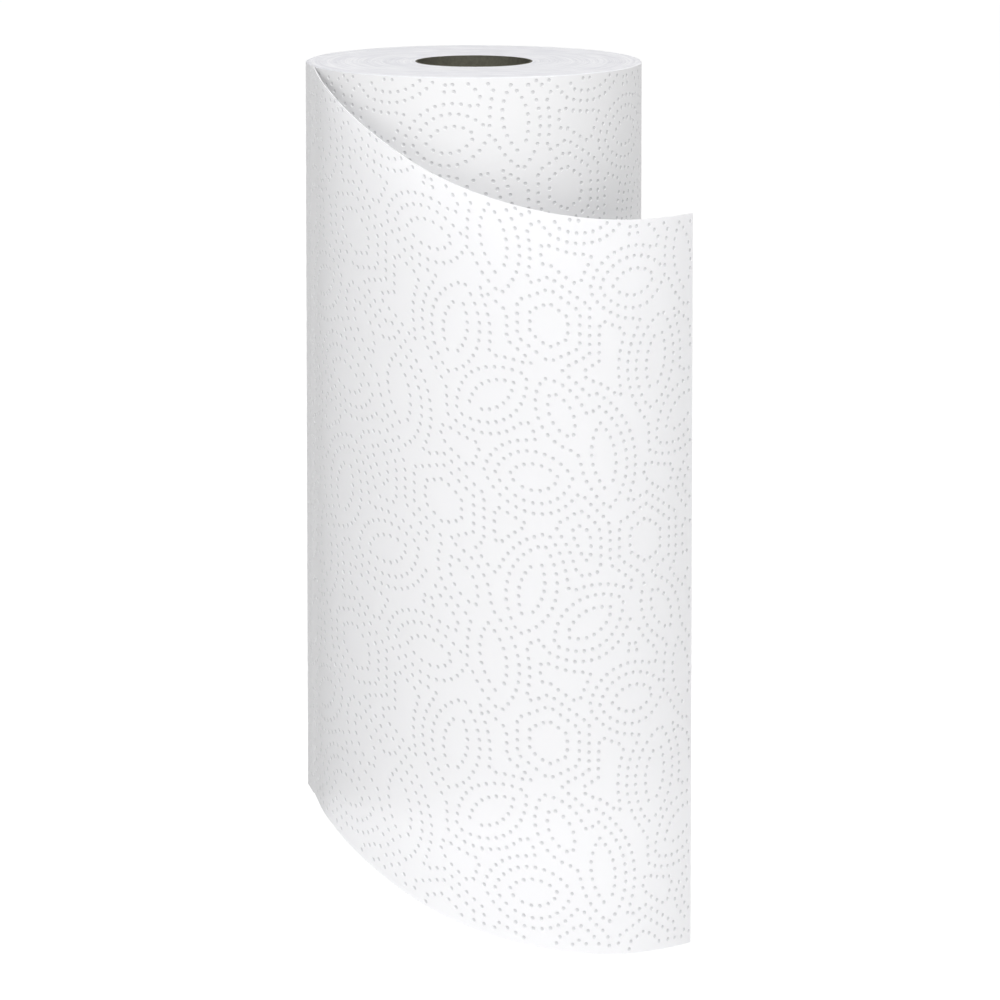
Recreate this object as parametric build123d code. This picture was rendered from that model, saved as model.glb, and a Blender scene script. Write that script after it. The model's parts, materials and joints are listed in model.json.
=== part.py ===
from build123d import *
import math
import os

# A paper towel roll with its first sheet pulled loose. The roll stands along +Z with its lower
# end at z = 0 and its axis on the origin; -Y is the front. The loose sheet leaves the roll at the
# left of the front, swings round the front with a widening gap, and has sagged, so that it hangs
# lower the further it is from the roll. Every upright line on the sheet stays upright.

# Roll and core
roll_diameter = 128.2
roll_height = 279.4  # the 11 inch web of a kitchen roll
core_bore = 43.2
core_wall = 0.7

# Loose sheet, along its outer face from the line where it leaves the roll
sheet_thickness = 0.5
leave_angle = 15.0  # degrees in front of the roll's left side
ease_turn = 0.2  # almost straight, which opens the gap
ease_flatter = 2900.0  # this much more radius than the roll
bend_turn = 22.0
bend_tighter = 4.1  # this much less radius than the roll
tail_flatter = 17.0
free_heading = 55.8  # the way the sheet runs at its free edge, turned from +X towards +Y

# How the sheet sags: a slope at once, then a curve to level
clear_run = 1.0  # level run past the place where the sheet comes off the roll
slope_angle = 27.9
slope_run = 54.1
level_radius = 212.0
edge_points = 34

roll_radius = roll_diameter / 2
core_radius = core_bore / 2 + core_wall
ease_radius = roll_radius + ease_flatter
bend_radius = roll_radius - bend_tighter
tail_radius = roll_radius + tail_flatter
start_heading = leave_angle - 90
tail_turn = free_heading - start_heading - ease_turn - bend_turn
path_arcs = ((ease_radius, ease_turn), (bend_radius, bend_turn), (tail_radius, tail_turn))

start_point = Vector(
    roll_radius * math.sin(math.radians(start_heading)),
    -roll_radius * math.cos(math.radians(start_heading)),
)


def heading_vector(degrees):
    return Vector(math.cos(math.radians(degrees)), math.sin(math.radians(degrees)))


def inward_vector(degrees):
    """Unit vector across the sheet, from its outer face to its inner face."""
    return Vector(-math.sin(math.radians(degrees)), math.cos(math.radians(degrees)))


def place_on_path(run):
    """Point on the sheet's outer face and its heading, this run from the leaving line."""
    point, heading, left = start_point, start_heading, run
    for index, (radius, turn) in enumerate(path_arcs):
        length = radius * math.radians(turn)
        part = left if index == len(path_arcs) - 1 else min(left, length)
        centre = point + inward_vector(heading) * radius
        heading += math.degrees(part / radius)
        point = centre - inward_vector(heading) * radius
        left -= part
        if left <= 0:
            break
    return point, heading


def root_run():
    """Run along the sheet to where its inner face comes clear of the roll."""
    apart = ease_radius - roll_radius
    inner = ease_radius - sheet_thickness
    cosine = (inner**2 - roll_radius**2 - apart**2) / (2 * roll_radius * apart)
    return roll_radius * math.acos(cosine)


def sag(run):
    """How far the sheet hangs below the roll's own level, this run from the leaving line."""
    slope = math.radians(slope_angle)
    along = run - sag_start
    if along <= 0:
        return 0.0
    if along <= slope_run:
        return along * math.tan(slope)
    to_go = max(0.0, slope_run + level_radius * math.sin(slope) - along)
    level_depth = math.sqrt(level_radius**2 - to_go**2) - level_radius * math.cos(slope)
    return slope_run * math.tan(slope) + level_depth


def edge_direction(run):
    """The way the sheet's slanting edges run at this place."""
    ahead = 0.01
    fall = (sag(run + ahead) - sag(run)) / ahead
    return heading_vector(place_on_path(run)[1]) - Vector(0, 0, fall)


sheet_length = sum(radius * math.radians(turn) for radius, turn in path_arcs)
sag_start = root_run() + clear_run


def make_core():
    """The wound board tube, as long as the web is wide."""
    with BuildPart() as core:
        with BuildSketch():
            Circle(core_radius)
            Circle(core_bore / 2, mode=Mode.SUBTRACT)
        extrude(amount=roll_height)
    return core.part


def make_wound_turns():
    """All the turns as one body, with the first stretch of the loose sheet up to the sag."""
    root_angle = root_run() / roll_radius
    root = Vector(
        roll_radius * math.sin(math.radians(start_heading) + root_angle),
        -roll_radius * math.cos(math.radians(start_heading) + root_angle),
    )
    far_outer, far_heading = place_on_path(sag_start)
    mid_outer = place_on_path(sag_start / 2)[0]
    far_inner = far_outer + inward_vector(far_heading) * sheet_thickness
    centre = start_point + inward_vector(start_heading) * ease_radius
    inner_radius = ease_radius - sheet_thickness
    toward_mid = ((root - centre).normalized() + (far_inner - centre).normalized()).normalized()
    root_degrees = math.degrees(root_angle)
    turns = CenterArc((0, 0), roll_radius, start_heading - 90 + root_degrees, 360 - root_degrees)
    outer = ThreePointArc(start_point, mid_outer, far_outer)
    end = Line(far_outer, far_inner)
    inner = ThreePointArc(far_inner, centre + toward_mid * inner_radius, root)
    outline = make_face(Wire([turns, outer, end, inner]))
    return extrude(outline - Circle(core_radius), roll_height)


def make_loose_sheet():
    """The sheet past the start of the sag: its slanting top edge carried straight down."""
    outer_points = []
    inner_points = []
    for index in range(edge_points):
        run = sag_start + (sheet_length - sag_start) * index / (edge_points - 1)
        point, heading = place_on_path(run)
        top = Vector(0, 0, roll_height - sag(run))
        outer_points.append(point + top)
        inner_points.append(point + inward_vector(heading) * sheet_thickness + top)
    ends = [edge_direction(run) for run in (sag_start, sheet_length)]
    outer_edge = Spline(*outer_points, tangents=ends)
    inner_edge = Spline(*inner_points, tangents=ends)
    edge_strip = Face.make_surface_from_curves(outer_edge, inner_edge)
    return Solid.extrude(edge_strip, Vector(0, 0, -roll_height))


def make_paper():
    """The paper web: every turn and the loose sheet, in one piece."""
    return make_wound_turns() + make_loose_sheet()


os.makedirs("parts", exist_ok=True)
print("loose sheet, length along its face", round(sheet_length, 1), "width", roll_height)
print("fall of its free end", round(sag(sheet_length), 1))
export_step(make_core(), "parts/core.step")
export_step(make_paper(), "parts/paper.step")
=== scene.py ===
import json
import math

import bmesh
import bpy
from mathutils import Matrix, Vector, noise
from mathutils.geometry import delaunay_2d_cdt
from mathutils.kdtree import KDTree


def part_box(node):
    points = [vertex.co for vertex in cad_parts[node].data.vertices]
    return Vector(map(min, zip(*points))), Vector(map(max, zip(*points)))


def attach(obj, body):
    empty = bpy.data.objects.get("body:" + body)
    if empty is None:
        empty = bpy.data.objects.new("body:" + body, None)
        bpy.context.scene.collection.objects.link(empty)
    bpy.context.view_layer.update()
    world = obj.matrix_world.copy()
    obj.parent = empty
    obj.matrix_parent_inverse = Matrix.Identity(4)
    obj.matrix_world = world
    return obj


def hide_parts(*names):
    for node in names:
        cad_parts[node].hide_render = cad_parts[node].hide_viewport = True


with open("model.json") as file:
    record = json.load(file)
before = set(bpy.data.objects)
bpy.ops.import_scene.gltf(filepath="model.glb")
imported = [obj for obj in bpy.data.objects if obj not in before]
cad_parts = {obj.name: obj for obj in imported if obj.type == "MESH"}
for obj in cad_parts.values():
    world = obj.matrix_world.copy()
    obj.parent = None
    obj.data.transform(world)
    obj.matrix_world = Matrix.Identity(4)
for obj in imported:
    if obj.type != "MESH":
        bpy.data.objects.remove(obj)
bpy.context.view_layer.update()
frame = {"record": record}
print("stage: frame loaded")

mm = 0.001  # every size below is in millimetres unless its name says otherwise

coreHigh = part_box("core")[1]
paperLow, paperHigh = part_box("paper")
webWidth = coreHigh.z / mm
coreRadius = coreHigh.x / mm
rollRadius = paperHigh.y / mm
boreRadius = frame["record"]["mounts"][0]["dims"]["r_mm"]
sheetFall = -paperLow.z / mm

# The loose sheet runs as the paper node does: nearly straight off the roll, then round the front to its edge
looseSheet = {
    "thickness": 0.5,
    "leaveAngle": 15.0,  # degrees in front of the roll's left side
    "arcs": (  # radius and turn in degrees
        (rollRadius + 2900, 0.2),
        (rollRadius - 4.1, 22.0),
        (rollRadius + 17.0, 108.6),
    ),
    "sagStart": 9.1,  # the CAD sheet drops from here on
    "firstDrop": 4.0,  # the paper starts to drop here, and joins the even slope at firstEnd
    "firstEnd": 25.0,
    "slopeAngle": 27.9,
    "slopeRun": 54.1,
    "levelRadius": 212.0,  # the slope then curves to level
    "looseBy": 28.0,  # from here on light reaches the sheet's back and passes through it, and the paint turns from the roll's shaded white to the sheet's lit white
}
leaveHeading = math.radians(looseSheet["leaveAngle"] - 90)
sheetLength = sum(radius * math.radians(turn) for radius, turn in looseSheet["arcs"])
rollRound = 2 * math.pi * rollRadius


def sagAt(run):  # how far the sheet has dropped, this run from the roll
    slope, level = math.radians(looseSheet["slopeAngle"]), looseSheet["levelRadius"]
    along = max(0.0, run - looseSheet["sagStart"])
    firstDrop, firstEnd = looseSheet["firstDrop"], looseSheet["firstEnd"]
    if firstDrop < run < firstEnd:
        share = (run - firstDrop) / (firstEnd - firstDrop)
        return share * (firstEnd - looseSheet["sagStart"]) * math.tan(slope)
    if along <= looseSheet["slopeRun"]:
        return along * math.tan(slope)
    toGo = max(0.0, looseSheet["slopeRun"] + level * math.sin(slope) - along)
    levelDrop = math.sqrt(level ** 2 - toGo ** 2) - level * math.cos(slope)
    return looseSheet["slopeRun"] * math.tan(slope) + levelDrop


def pathAt(run):  # point and heading on the sheet's outer face, seen from above
    heading, left = leaveHeading, run
    point = Vector((math.sin(heading), -math.cos(heading))) * rollRadius
    lastArc = looseSheet["arcs"][-1]
    for arc in looseSheet["arcs"]:
        radius, turn = arc
        part = left if arc == lastArc else min(left, radius * math.radians(turn))
        centre = point + Vector((-math.sin(heading), math.cos(heading))) * radius
        heading += part / radius
        point = centre - Vector((-math.sin(heading), math.cos(heading))) * radius
        left -= part
    return point, heading


# Colours and shader nodes


def linear(hexColour):  # sRGB hex to the linear colour that a shader wants
    channels = [int(hexColour[i:i + 2], 16) / 255 for i in (1, 3, 5)]
    return [c / 12.92 if c <= 0.04045 else ((c + 0.055) / 1.055) ** 2.4 for c in channels] + [1.0]


def addNode(tree, kind, settings=None, links=None):  # links: socket -> (node, output)
    node = tree.nodes.new(kind)
    for name, value in (settings or {}).items():
        if isinstance(name, int) or name in node.inputs:
            node.inputs[name].default_value = value
        else:
            setattr(node, name, value)
    for socket, (source, output) in (links or {}).items():
        tree.links.new(source.outputs[output], node.inputs[socket])
    return node


def newMaterial(name):
    material = bpy.data.materials.new(name)
    material.use_nodes = True
    material.node_tree.nodes.clear()
    return material, material.node_tree


# Creped two-ply tissue, through-air dried and roll embossed: a soft dull white with fine fibres.
# The pressed pits are painted grey, greyest toward the upper right: painted shade of the pits and their
# walls. The roll and the loose sheet are painted as shaded and lit copies of one white.
tissue = {
    # painted shade and light: one tissue, painted darker on the roll and lighter on the loose sheet
    "rollShadedWhite": "#E4E4E5",
    "sheetLitWhite": "#FCFCFD",  # painted a shade lighter than the roll's copy of the same tissue, to make up for the light lost through it
    # painted shade: the greys of the pit floors on the roll and on the loose sheet
    "rollPitShade": "#C6C6C8",
    "sheetPitShade": "#DADADC",
    "roughness": 0.95,
    "sheen": 0.08,
    "through": 0.34,  # share of the light that passes through two loose plies
    "fibreGap": 0.55,
    "crepeGap": 1.9,
    "fibreDepth": 0.02,
    "crepeDepth": 0.035,
}


def tissueMaterial(name, lightPasses):
    material, tree = newMaterial(name)
    place = addNode(tree, "ShaderNodeTexCoord")
    fibre = addNode(tree, "ShaderNodeTexNoise",
                    {"Scale": 1 / (tissue["fibreGap"] * mm), "Detail": 2.0, "Roughness": 0.6},
                    {"Vector": (place, "Object")})
    crepe = addNode(tree, "ShaderNodeTexNoise",
                    {"Scale": 1 / (tissue["crepeGap"] * mm), "Detail": 1.0, "Roughness": 0.5},
                    {"Vector": (place, "Object")})
    crepeBump = addNode(tree, "ShaderNodeBump", {"Strength": 0.35, "Distance": tissue["crepeDepth"] * mm},
                        {"Height": (crepe, "Fac")})
    fibreBump = addNode(tree, "ShaderNodeBump", {"Strength": 0.5, "Distance": tissue["fibreDepth"] * mm},
                        {"Height": (fibre, "Fac"), "Normal": (crepeBump, "Normal")})
    # the pressed attribute carries the painted shade of the pits
    pressed = addNode(tree, "ShaderNodeAttribute", {"attribute_name": "pressed"})
    loose = addNode(tree, "ShaderNodeAttribute", {"attribute_name": "loose"})
    # painted shade and light: the roll's darker white turns to the loose sheet's lighter white
    white = addNode(tree, "ShaderNodeMix", {"data_type": "RGBA"}, {"Factor": (loose, "Fac")})
    white.inputs[6].default_value = linear(tissue["rollShadedWhite"])
    white.inputs[7].default_value = linear(tissue["sheetLitWhite"])
    pitShade = addNode(tree, "ShaderNodeMix", {"data_type": "RGBA"}, {"Factor": (loose, "Fac")})
    pitShade.inputs[6].default_value = linear(tissue["rollPitShade"])
    pitShade.inputs[7].default_value = linear(tissue["sheetPitShade"])
    colour = addNode(tree, "ShaderNodeMix", {"data_type": "RGBA"},
                     {"Factor": (pressed, "Fac"), 6: (white, 2), 7: (pitShade, 2)})
    shader = addNode(tree, "ShaderNodeBsdfPrincipled",
                     {"Roughness": tissue["roughness"], "Sheen Weight": tissue["sheen"],
                      "Specular IOR Level": 0.2},
                     {"Base Color": (colour, 2), "Normal": (fibreBump, "Normal")})
    if lightPasses:
        share = addNode(tree, "ShaderNodeMath", {"operation": "MULTIPLY", 1: tissue["through"]},
                        {0: (loose, "Fac")})
        glow = addNode(tree, "ShaderNodeBsdfTranslucent", None, {"Color": (colour, 2)})
        shader = addNode(tree, "ShaderNodeMixShader", None,
                         {"Fac": (share, "Value"), 1: (shader, "BSDF"), 2: (glow, "BSDF")})
    addNode(tree, "ShaderNodeOutputMaterial", None, {"Surface": (shader, 0)})
    return material


# The slit ends of the turns: hundreds of paper edges on end, matt, with hairline gaps between turns; the grey
# lines along the gaps are painted shade, mixed with patches of tone that varies at random
slitEnd = {
    "edgeWhite": "#F6F6F8",
    "gapShadeAndMottle": "#E0E0E5",
    "turnGap": 0.8,  # real turns are nearer 0.4 apart, too fine to show
    "streakAlong": 42.0,
    "patchGap": 11.0,
    "patchShare": 0.45,
    "lineDepth": 0.22,
}


def slitEndMaterial():
    material, tree = newMaterial("slitPaperEnds")
    place = addNode(tree, "ShaderNodeTexCoord")
    split = addNode(tree, "ShaderNodeSeparateXYZ", None, {0: (place, "Object")})
    flat = addNode(tree, "ShaderNodeCombineXYZ", None, {"X": (split, "X"), "Y": (split, "Y")})
    radius = addNode(tree, "ShaderNodeVectorMath", {"operation": "LENGTH"}, {0: (flat, "Vector")})
    unit = addNode(tree, "ShaderNodeVectorMath", {"operation": "NORMALIZE"}, {0: (flat, "Vector")})
    roundPart = addNode(tree, "ShaderNodeVectorMath",
                        {"operation": "SCALE", "Scale": rollRadius / slitEnd["streakAlong"]},
                        {0: (unit, "Vector")})
    outward = addNode(tree, "ShaderNodeMath", {"operation": "MULTIPLY", 1: 1 / (slitEnd["turnGap"] * mm)},
                      {0: (radius, "Value")})
    turned = addNode(tree, "ShaderNodeCombineXYZ", None, {"Z": (outward, "Value")})
    along = addNode(tree, "ShaderNodeVectorMath", {"operation": "ADD"},
                    {0: (roundPart, "Vector"), 1: (turned, "Vector")})
    streaks = addNode(tree, "ShaderNodeTexNoise", {"Scale": 1.0, "Detail": 3.0, "Roughness": 0.6},
                      {"Vector": (along, "Vector")})
    patches = addNode(tree, "ShaderNodeTexNoise",
                      {"Scale": 1 / (slitEnd["patchGap"] * mm), "Detail": 4.0, "Roughness": 0.6},
                      {"Vector": (flat, "Vector")})
    both = addNode(tree, "ShaderNodeMath", {"operation": "MULTIPLY_ADD", 1: slitEnd["patchShare"]},
                   {0: (patches, "Fac"), 2: (streaks, "Fac")})
    share = addNode(tree, "ShaderNodeMapRange", {"From Min": 0.5, "From Max": 0.95},
                    {"Value": (both, "Value")})
    bump = addNode(tree, "ShaderNodeBump", {"Strength": 0.7, "Distance": slitEnd["lineDepth"] * mm},
                   {"Height": (share, "Result")})
    # painted shade in the gaps between turns, with random patches of tone
    colour = addNode(tree, "ShaderNodeMix", {"data_type": "RGBA"}, {"Factor": (share, "Result")})
    colour.inputs[6].default_value = linear(slitEnd["gapShadeAndMottle"])
    colour.inputs[7].default_value = linear(slitEnd["edgeWhite"])
    shader = addNode(tree, "ShaderNodeBsdfPrincipled", {"Roughness": 0.97, "Specular IOR Level": 0.15},
                     {"Base Color": (colour, 2), "Normal": (bump, "Normal")})
    addNode(tree, "ShaderNodeOutputMaterial", None, {"Surface": (shader, "BSDF")})
    return material


# Spirally wound greyboard of recycled fibre: dull olive grey, flecked, with a butt seam, painted darker than
# such board as painted shade inside the hole
greyboard = {
    "board": "#5E5D52",
    "fleck": "#716F62",
    "roughness": 0.9,
    "fleckGap": 1.1,
    "grainDepth": 0.05,
}


def greyboardMaterial():
    material, tree = newMaterial("woundGreyboard")
    place = addNode(tree, "ShaderNodeTexCoord")
    fleck = addNode(tree, "ShaderNodeTexNoise",
                    {"Scale": 1 / (greyboard["fleckGap"] * mm), "Detail": 5.0, "Roughness": 0.7},
                    {"Vector": (place, "Object")})
    ramp = addNode(tree, "ShaderNodeMapRange", {"From Min": 0.35, "From Max": 0.75},
                   {"Value": (fleck, "Fac")})
    bump = addNode(tree, "ShaderNodeBump", {"Strength": 0.4, "Distance": greyboard["grainDepth"] * mm},
                   {"Height": (fleck, "Fac")})
    colour = addNode(tree, "ShaderNodeMix", {"data_type": "RGBA"}, {"Factor": (ramp, "Result")})
    # painted shade: the board and its flecks are painted darker than real greyboard
    colour.inputs[6].default_value = linear(greyboard["board"])
    colour.inputs[7].default_value = linear(greyboard["fleck"])
    shader = addNode(tree, "ShaderNodeBsdfPrincipled",
                     {"Roughness": greyboard["roughness"], "Specular IOR Level": 0.25},
                     {"Base Color": (colour, 2), "Normal": (bump, "Normal")})
    addNode(tree, "ShaderNodeOutputMaterial", None, {"Surface": (shader, "BSDF")})
    return material


# The emboss pattern: dotted lines at even steps out from hexagons and leaves, one tile of it

emboss = {
    "tileWidth": rollRound / 5,  # five tiles round the roll, so that the pattern closes on itself
    "tileHeight": 158.0,
    "hexagons": ((0.0, 0.0), (0.5, 0.5)),  # places as shares of the tile
    "hexagonReach": 7.2,
    "leaves": (  # place as shares, tilt in degrees, half length, half width
        (0.43, 0.13, 8, 9.5, 5.0),
        (0.77, 0.20, 97, 13.0, 5.0),
        (0.23, 0.30, 40, 11.0, 4.5),
        (0.56, 0.29, 118, 9.0, 4.5),
        (0.06, 0.43, 80, 12.0, 4.5),
        (0.93, 0.62, 12, 9.5, 5.0),
        (0.24, 0.67, 98, 13.0, 5.0),
        (0.70, 0.80, 35, 11.0, 4.5),
        (0.10, 0.83, 120, 9.0, 4.5),
        (0.42, 0.86, 75, 12.0, 4.5),
    ),
    "lines": (0.0, 4.7, 8.6, 12.5, 16.4),  # how far out from the motifs
    "softness": 1.5,  # how roundly the lines of two motifs run together
    "dotGap": 3.35,
    "closest": 2.5,
    "walkStep": 0.8,
    "leastSteps": 4,
    "mostSteps": 3000,
    "closedBy": 0.7,  # a line is closed this share of a step from its start
    "probe": 0.05,  # half the span over which the slope is taken
    "leastSlope": 0.05,  # these three keep a point from jumping where the slope vanishes
    "leastSquare": 0.04,
    "furthestOff": 1.0,
    "scanGap": 2.0,  # how finely the tile is searched for lines
    "scanCell": 1.0,
    "dotRadius": 0.9,
    "floorShare": 0.73,
    "floorShift": 0.09,  # the pins press deeper at the upper right
    "depth": 0.25,
    "backShare": 0.6,  # how much of the depth shows as bumps on the back
    "edgeClear": 0.4,
    "pitShadeMiddle": 0.78,  # how much painted shade a pit's floor has at its middle
    "pitShadeSpread": 0.22,  # and how much more painted shade it gets toward the upper right
}


def fromMotifs(x, y):  # distance from the nearest motif's outline, run together softly
    distances = []
    width, height = emboss["tileWidth"], emboss["tileHeight"]
    for shareX, shareY in emboss["hexagons"]:
        u = (x - shareX * width + width / 2) % width - width / 2
        v = (y - shareY * height + height / 2) % height - height / 2
        lean = abs(v) * math.sqrt(0.75)  # the slanting sides stand at 60 degrees
        distances.append(max(abs(u), abs(u) / 2 + lean) - emboss["hexagonReach"])
    for shareX, shareY, tilt, length, half in emboss["leaves"]:
        dx = (x - shareX * width + width / 2) % width - width / 2
        dy = (y - shareY * height + height / 2) % height - height / 2
        c, s = math.cos(math.radians(tilt)), math.sin(math.radians(tilt))
        radius = (length ** 2 + half ** 2) / (2 * half)
        distances.append(math.hypot(dx * c + dy * s, abs(dy * c - dx * s) + radius - half) - radius)
    soft, least = emboss["softness"], min(distances)
    return least - soft * math.log(sum(math.exp((least - d) / soft) for d in distances))


def slopeAt(x, y):
    reach = emboss["probe"]
    return ((fromMotifs(x + reach, y) - fromMotifs(x - reach, y)) / (2 * reach),
            (fromMotifs(x, y + reach) - fromMotifs(x, y - reach)) / (2 * reach))


def onLine(x, y, level):  # moves a point on to the line at that level
    most = emboss["furthestOff"]
    for _ in range(2):
        gx, gy = slopeAt(x, y)
        off = max(-most, min(most, fromMotifs(x, y) - level)) / max(gx * gx + gy * gy, emboss["leastSquare"])
        x, y = x - gx * off, y - gy * off
    return x, y


def wrapped(a, b, size):
    return abs((a - b + size / 2) % size - size / 2)


def followLine(x, y, level):  # walks a line all the way round, across the tile's edges too
    line = [(x, y)]
    step, startX, startY = emboss["walkStep"], x, y
    for count in range(emboss["mostSteps"]):
        gx, gy = slopeAt(x, y)
        steep = max(math.hypot(gx, gy), emboss["leastSlope"])
        x, y = onLine(x - gy / steep * step, y + gx / steep * step, level)
        line.append((x, y))
        back = math.hypot(wrapped(x, startX, emboss["tileWidth"]), wrapped(y, startY, emboss["tileHeight"]))
        if count > emboss["leastSteps"] and back < step * emboss["closedBy"]:
            break
    return line


def evenDots(line):
    runs = [0.0]
    for a, b in zip(line, line[1:]):
        runs.append(runs[-1] + math.dist(a, b))
    count = max(3, round(runs[-1] / emboss["dotGap"]))
    dots, index = [], 0
    for number in range(count):
        target = runs[-1] * number / count
        while runs[index + 1] < target:
            index += 1
        share = (target - runs[index]) / (runs[index + 1] - runs[index])
        a, b = line[index], line[index + 1]
        dots.append((a[0] + (b[0] - a[0]) * share, a[1] + (b[1] - a[1]) * share))
    return dots


def cellsRound(x, y, size):
    column, row = int(x // size), int(y // size)
    return [(column + i, row + j) for i in (-1, 0, 1) for j in (-1, 0, 1)]


def tilePattern():
    width, height = emboss["tileWidth"], emboss["tileHeight"]
    grid, cell = emboss["scanGap"], emboss["scanCell"]
    columns, rows = int(width / grid), int(height / grid)
    dots = []
    for level in emboss["lines"]:
        walked = set()
        for row in range(rows):
            y = height * row / rows
            values = [fromMotifs(width * column / columns, y) - level for column in range(columns + 1)]
            for column in range(columns):
                if values[column] * values[column + 1] >= 0:
                    continue
                share = values[column] / (values[column] - values[column + 1])
                x = width * (column + share) / columns
                if walked.intersection(cellsRound(x, y, cell)):
                    continue
                line = followLine(*onLine(x, y, level), level)
                walked.update((int(px % width // cell), int(py % height // cell)) for px, py in line)
                for dot in evenDots(line):
                    px, py = dot[0] % width, dot[1] % height
                    if all(wrapped(px, a, width) ** 2 + wrapped(py, b, height) ** 2 > emboss["closest"] ** 2
                           for a, b in dots):
                        dots.append((px, py))
    return dots


tileDots = tilePattern()
print("stage: emboss pattern,", len(tileDots), "dots a tile")


def dotsOn(length):  # the pattern laid over a length of web, clear of its edges
    margin = emboss["dotRadius"] + emboss["edgeClear"]
    dots = []
    for across in range(math.ceil(length / emboss["tileWidth"])):
        for up in range(math.ceil(webWidth / emboss["tileHeight"])):
            for x, y in tileDots:
                x, y = x + across * emboss["tileWidth"], y + up * emboss["tileHeight"]
                if margin < x < length - margin and margin < y < webWidth - margin:
                    dots.append((x, y))
    return dots


# The embossed web is made flat, then bent to its place

flatWeb = {
    "edgeGap": 3.4,
    "fillGap": 3.3,
    "fillClear": 2.5,
    "sides": 6,
    "sameSpot": 1e-5,
    "atEdge": 1e-4,
}


def embossedFlat(bm, length, depth):
    dots = dotsOn(length)
    tree = KDTree(len(dots))
    for index, (x, y) in enumerate(dots):
        tree.insert((x, y, 0), index)
    tree.balance()
    columns, rows = round(length / flatWeb["edgeGap"]), round(webWidth / flatWeb["edgeGap"])
    points = [Vector((length * i / columns, y)) for i in range(columns + 1) for y in (0, webWidth)]
    points += [Vector((x, webWidth * j / rows)) for j in range(1, rows) for x in (0, length)]
    gap, clear = flatWeb["fillGap"], flatWeb["fillClear"]
    for row in range(1, int(webWidth / gap)):
        for column in range(1, int(length / gap)):
            x, y = gap * (column + row % 2 / 2), gap * row
            inside = gap / 2 < x < length - gap / 2 and y < webWidth - gap / 2
            if inside and tree.find((x, y, 0))[2] > clear:
                points.append(Vector((x, y)))
    firstRing, sides, dotRadius = len(points), flatWeb["sides"], emboss["dotRadius"]
    for x, y in dots:
        for side in range(sides):
            angle = 2 * math.pi * side / sides
            points.append(Vector((x + dotRadius * math.cos(angle), y + dotRadius * math.sin(angle))))
    flat = delaunay_2d_cdt(points, [], [], 0, flatWeb["sameSpot"])
    verts = [bm.verts.new((co.x, co.y, 0)) for co in flat[0]]
    ring = [(origin[0] - firstRing) // sides if origin and origin[0] >= firstRing else -1
            for origin in flat[3]]
    pressed, faces = [], []
    for corners in flat[2]:
        face = bm.faces.new([verts[i] for i in corners])
        faces.append(face)
        rings = {ring[i] for i in corners}
        if len(rings) == 1 and -1 not in rings:
            pressed.append(face)
    for face in faces:
        face.normal_update()
    inset = bmesh.ops.inset_region(bm, faces=pressed, thickness=dotRadius * (1 - emboss["floorShare"]),
                                   depth=-depth, use_even_offset=True, use_boundary=True)
    layer = bm.verts.layers.float["pressed"]
    shift = emboss["floorShift"]
    # the pit floors get painted shade, darkest toward the upper right
    for vert in {vert for face in pressed for vert in face.verts}:
        across, up = (vert.co - tree.find((vert.co.x, vert.co.y, 0))[0]).xy.normalized()
        vert[layer] = emboss["pitShadeMiddle"] + emboss["pitShadeSpread"] * (across + up) / math.sqrt(2)
        vert.co += Vector((shift, shift, 0))
    return faces + inset["faces"]


def outerPlace(run, up, proud):  # the outer turn, which climbs by its own thickness in one turn
    heading = leaveHeading + run / rollRadius
    radius = rollRadius - looseSheet["thickness"] * (1 - run / rollRound) + proud
    facet = math.radians(woundRoll["facet"])
    if run > (2 * math.pi - facet) * rollRadius:  # pulled flat just before the sheet comes off
        radius *= math.cos(facet / 2) / math.cos(heading - leaveHeading - 2 * math.pi + facet / 2)
    return Vector((radius * math.sin(heading), -radius * math.cos(heading), up)) * mm


def sheetPlace(run, up, proud):
    point, heading = pathAt(run)
    outward = Vector((math.sin(heading), -math.cos(heading)))
    point += outward * proud
    return Vector((point.x, point.y, up - sagAt(run))) * mm


def boundaryEdges(bm):
    return [edge for edge in bm.edges if edge.is_boundary]


creaseAngle = math.radians(30)


def finishPiece(bm, name, materials):
    bmesh.ops.recalc_face_normals(bm, faces=bm.faces)
    if bm.calc_volume(signed=True) < 0:  # a thin bent slab can come out turned inside out
        bmesh.ops.reverse_faces(bm, faces=bm.faces)
    mesh = bpy.data.meshes.new(name)
    bm.to_mesh(mesh)
    bm.free()
    for material in materials:
        mesh.materials.append(material)
    mesh.shade_smooth()
    mesh.set_sharp_from_angle(angle=creaseAngle)
    piece = bpy.data.objects.new(name, mesh)
    bpy.context.scene.collection.objects.link(piece)
    triangles = sum(len(polygon.vertices) - 2 for polygon in mesh.polygons)
    print("stage:", name, triangles, "triangles")
    return piece


rollTissue = tissueMaterial("embossedTissue", False)
sheetTissue = tissueMaterial("embossedTissueLoose", True)
slitEnds, board = slitEndMaterial(), greyboardMaterial()

woundRoll = {
    "facet": 15.0,  # degrees of turn
    "rimDrop": 0.35,  # the slit edge of the outer turn is a little crushed
    "rimWidth": 0.3,
    "rings": 26,
    "ringRelief": 0.17,
    "wobbleGap": 14,
    "wobbleStep": 0.9,  # how differently two rings a millimetre apart lie
}


def endRing(bm, edges, radius, height, end):  # carries an open or closed row of edges one ring inwards
    grown = bmesh.ops.extrude_edge_only(bm, edges=edges)["geom"]
    for vert in (item for item in grown if isinstance(item, bmesh.types.BMVert)):
        flat = Vector((vert.co.x, vert.co.y)).normalized() * radius * mm
        gap = woundRoll["wobbleGap"] * mm
        wobble = noise.noise(Vector((flat.x / gap, flat.y / gap, radius * woundRoll["wobbleStep"])))
        low = woundRoll["ringRelief"] * (0.5 + 0.5 * wobble) if height else 0.0
        vert.co = Vector((flat.x, flat.y, (webWidth - low) * mm if end else low * mm))
    return [item for item in grown if isinstance(item, bmesh.types.BMEdge)]


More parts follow.
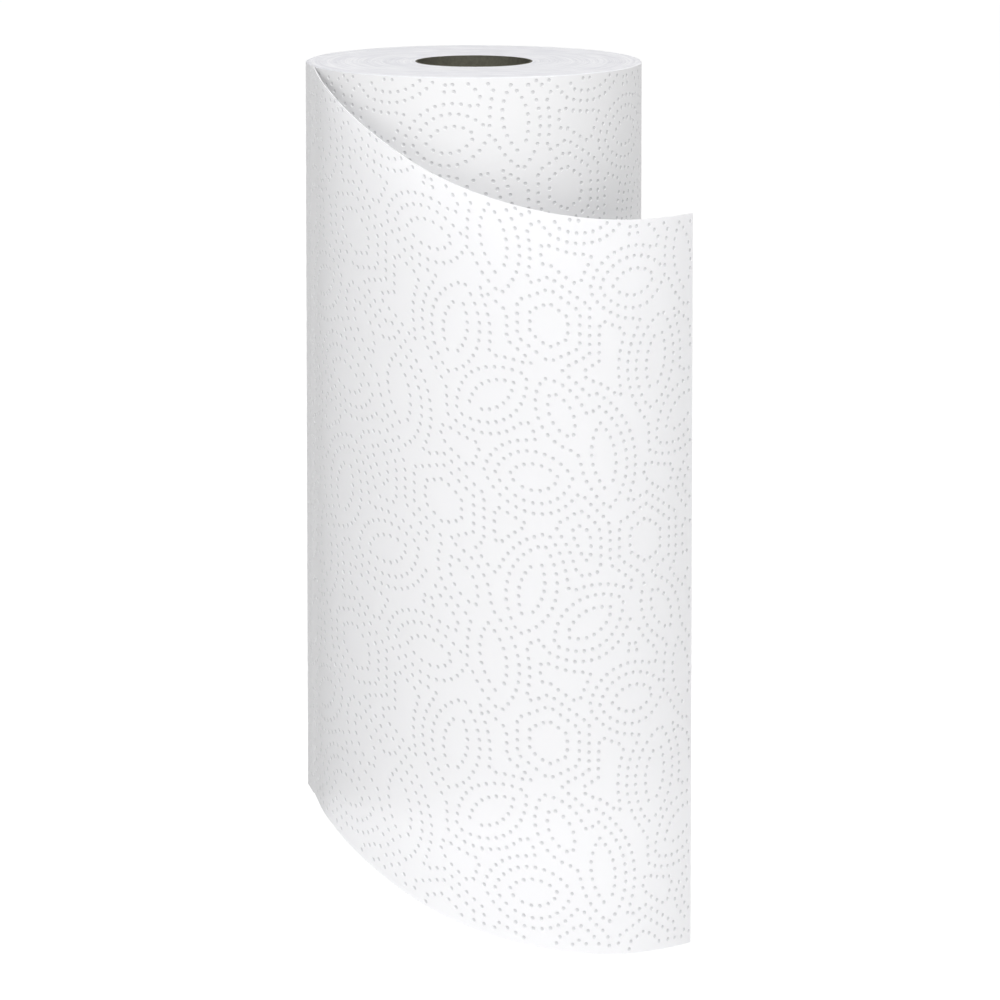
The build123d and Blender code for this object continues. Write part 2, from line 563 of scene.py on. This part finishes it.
def makeWoundRoll():
    bm = bmesh.new()
    bm.verts.layers.float.new("pressed")
    embossedFlat(bm, rollRound, emboss["depth"])
    drop = woundRoll["rimDrop"]
    lift = (webWidth - 2 * drop) / webWidth
    near = flatWeb["atEdge"]
    left = [edge for edge in boundaryEdges(bm) if all(v.co.x < near for v in edge.verts)]
    right = [edge for edge in boundaryEdges(bm) if all(v.co.x > rollRound - near for v in edge.verts)]
    for vert in bm.verts:
        vert.co = outerPlace(vert.co.x, drop + vert.co.y * lift, vert.co.z)
    bmesh.ops.bridge_loops(bm, edges=left + right)
    wall = set(bm.faces)
    rims = boundaryEdges(bm)
    ends = {0: [e for e in rims if e.verts[0].co.z < webWidth * mm / 2],
            1: [e for e in rims if e.verts[0].co.z > webWidth * mm / 2]}
    for end, edges in ends.items():
        outer = rollRadius - looseSheet["thickness"] - woundRoll["rimWidth"]
        for number in range(woundRoll["rings"] + 1):
            radius = outer - (outer - coreRadius) * number / woundRoll["rings"]
            edges = endRing(bm, edges, radius, number > 0, end)
        ends[end] = edges
    bmesh.ops.bridge_loops(bm, edges=ends[0] + ends[1])
    for face in bm.faces:
        face.material_index = 0 if face in wall else 1
    piece = finishPiece(bm, "wound_roll", [rollTissue, slitEnds])
    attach(piece, "root")
    return piece


def makeLooseSheet():
    bm = bmesh.new()
    bm.verts.layers.float.new("pressed")
    bm.verts.layers.float.new("loose")
    embossedFlat(bm, sheetLength, emboss["depth"])
    front = set(bm.verts)
    frontEdges = boundaryEdges(bm)
    backFaces = embossedFlat(bm, sheetLength, emboss["depth"] * emboss["backShare"])
    back = [vert for vert in bm.verts if vert not in front]
    bmesh.ops.translate(bm, verts=back, vec=(0, 0, -looseSheet["thickness"]))
    bmesh.ops.reverse_faces(bm, faces=backFaces)
    backEdges = [edge for edge in boundaryEdges(bm) if edge.verts[0] not in front]
    bmesh.ops.bridge_loops(bm, edges=frontEdges + backEdges)
    loose = bm.verts.layers.float["loose"]
    for vert in bm.verts:
        share = min(1.0, max(0.0, vert.co.x / looseSheet["looseBy"]))
        vert[loose] = share * share * (3 - 2 * share)
        vert.co = sheetPlace(*vert.co)
    piece = finishPiece(bm, "loose_sheet", [sheetTissue])
    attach(piece, "root")
    return piece


roll = makeWoundRoll()
sheet = makeLooseSheet()
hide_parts("paper")
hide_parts("paper")

# The core, with the butt seam of its inner and outer ply

coreTube = {
    "segments": 72,
    "rows": 140,
    "turnPitch": 92.0,  # how far up the tube one turn of the seam runs
    "seamInset": 0.35,
    "seamDepth": 0.18,
}


def makeCore():
    bm = bmesh.new()
    corners = [bm.verts.new(co) for co in ((boreRadius, 0, 0), (coreRadius, 0, 0),
                                           (coreRadius, 0, webWidth), (boreRadius, 0, webWidth))]
    sides = [bm.edges.new((corners[i], corners[(i + 1) % 4])) for i in range(4)]
    bmesh.ops.subdivide_edges(bm, edges=[sides[1], sides[3]], cuts=coreTube["rows"] - 1)
    bmesh.ops.spin(bm, geom=bm.verts[:] + bm.edges[:], axis=(0, 0, 1), cent=(0, 0, 0),
                   angle=2 * math.pi, steps=coreTube["segments"], use_merge=True)
    bmesh.ops.recalc_face_normals(bm, faces=bm.faces)
    slot = 2 * math.pi / coreTube["segments"]
    seam = []
    for face in bm.faces:
        middle = face.calc_center_median()
        upright = abs(face.normal.z) < 0.5
        if upright and 0 < math.atan2(middle.y, middle.x) < slot:
            seam.append(face)
    bmesh.ops.inset_region(bm, faces=seam, thickness=coreTube["seamInset"], depth=-coreTube["seamDepth"],
                           use_even_offset=True, use_boundary=True)
    for vert in bm.verts:
        twist = 2 * math.pi * vert.co.z / coreTube["turnPitch"]
        flat = Vector((vert.co.x, vert.co.y))
        c, s = math.cos(twist), math.sin(twist)
        vert.co = Vector((flat.x * c - flat.y * s, flat.x * s + flat.y * c, vert.co.z)) * mm
    piece = finishPiece(bm, "core_tube", [board])
    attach(piece, "root")
    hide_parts("core")


makeCore()

# Floor, light and camera

studio = {
    "floor": "#909090",
    "floorGlow": 0.9,  # a backlit table, which leaves hardly any shadow
    "floorReach": 40.0,  # metres
    "floorBelow": 1.0,
    "sky": 0.12,
    "softboxPower": 95.0,
    "softboxAway": 3.0,  # metres
    "softboxAcross": 3.0,
    "softboxHeight": 50,  # degrees
    "softboxSide": -1,
    "backFill": 0.9,
    "backSpread": 40,
    "backHeight": 40,
    "backSide": 158,
}


def makeFloor():
    bm = bmesh.new()
    bmesh.ops.create_grid(bm, x_segments=1, y_segments=1, size=studio["floorReach"])
    bmesh.ops.translate(bm, verts=bm.verts, vec=(0, 0, -(sheetFall + studio["floorBelow"]) * mm))
    mesh = bpy.data.meshes.new("floor")
    bm.to_mesh(mesh)
    bm.free()
    material, tree = newMaterial("paleFloor")
    shader = addNode(tree, "ShaderNodeBsdfPrincipled",
                     {"Base Color": linear(studio["floor"]), "Roughness": 0.9, "Specular IOR Level": 0.1,
                      "Emission Color": (1, 1, 1, 1), "Emission Strength": studio["floorGlow"]})
    addNode(tree, "ShaderNodeOutputMaterial", None, {"Surface": (shader, "BSDF")})
    mesh.materials.append(material)
    floor = bpy.data.objects.new("floor", mesh)
    bpy.context.scene.collection.objects.link(floor)


def makeLight():
    world = bpy.data.worlds.new("softSky")
    world.use_nodes = True
    world.node_tree.nodes["Background"].inputs["Color"].default_value = (1, 1, 1, 1)
    world.node_tree.nodes["Background"].inputs["Strength"].default_value = studio["sky"]
    bpy.context.scene.world = world
    front = bpy.data.lights.new("softbox", "AREA")
    front.shape = "DISK"
    front.size = studio["softboxAcross"]
    front.energy = studio["softboxPower"]
    height, side = math.radians(studio["softboxHeight"]), math.radians(studio["softboxSide"])
    away = Vector((math.sin(side) * math.cos(height), -math.cos(side) * math.cos(height), math.sin(height)))
    frontObject = bpy.data.objects.new("softbox", front)
    frontObject.location = Vector((0, 0, webWidth / 2 * mm)) + away * studio["softboxAway"]
    frontObject.rotation_euler = (math.pi / 2 - height, 0, side)
    back = bpy.data.lights.new("backFill", "SUN")
    back.energy = studio["backFill"]
    back.angle = math.radians(studio["backSpread"])
    backObject = bpy.data.objects.new("backFill", back)
    backObject.rotation_euler = (math.radians(90 - studio["backHeight"]), 0, math.radians(studio["backSide"]))
    for lampObject in (frontObject, backObject):
        bpy.context.scene.collection.objects.link(lampObject)


camera = {
    "lens": 324.0,  # a long lens from well back, so that upright lines stay nearly upright
    "distance": 3.448,  # metres from the roll's axis
    "aimX": 9.9,
    "aimZ": 110.6,
    "tilt": 8.34,  # degrees looking down
    "clipEnd": 200,  # metres
}


def makeCamera():
    data = bpy.data.cameras.new("camera")
    data.lens = camera["lens"]
    data.clip_end = camera["clipEnd"]
    view = bpy.data.objects.new("camera", data)
    tilt = math.radians(camera["tilt"])
    back = Vector((0, -math.cos(tilt), math.sin(tilt)))
    view.location = Vector((camera["aimX"], 0, camera["aimZ"])) * mm + back * camera["distance"]
    view.rotation_euler = (math.pi / 2 - tilt, 0, 0)
    bpy.context.scene.collection.objects.link(view)
    bpy.context.scene.camera = view


makeFloor()
makeLight()
makeCamera()
bpy.context.scene.view_settings.view_transform = "Standard"
print("stage: studio")
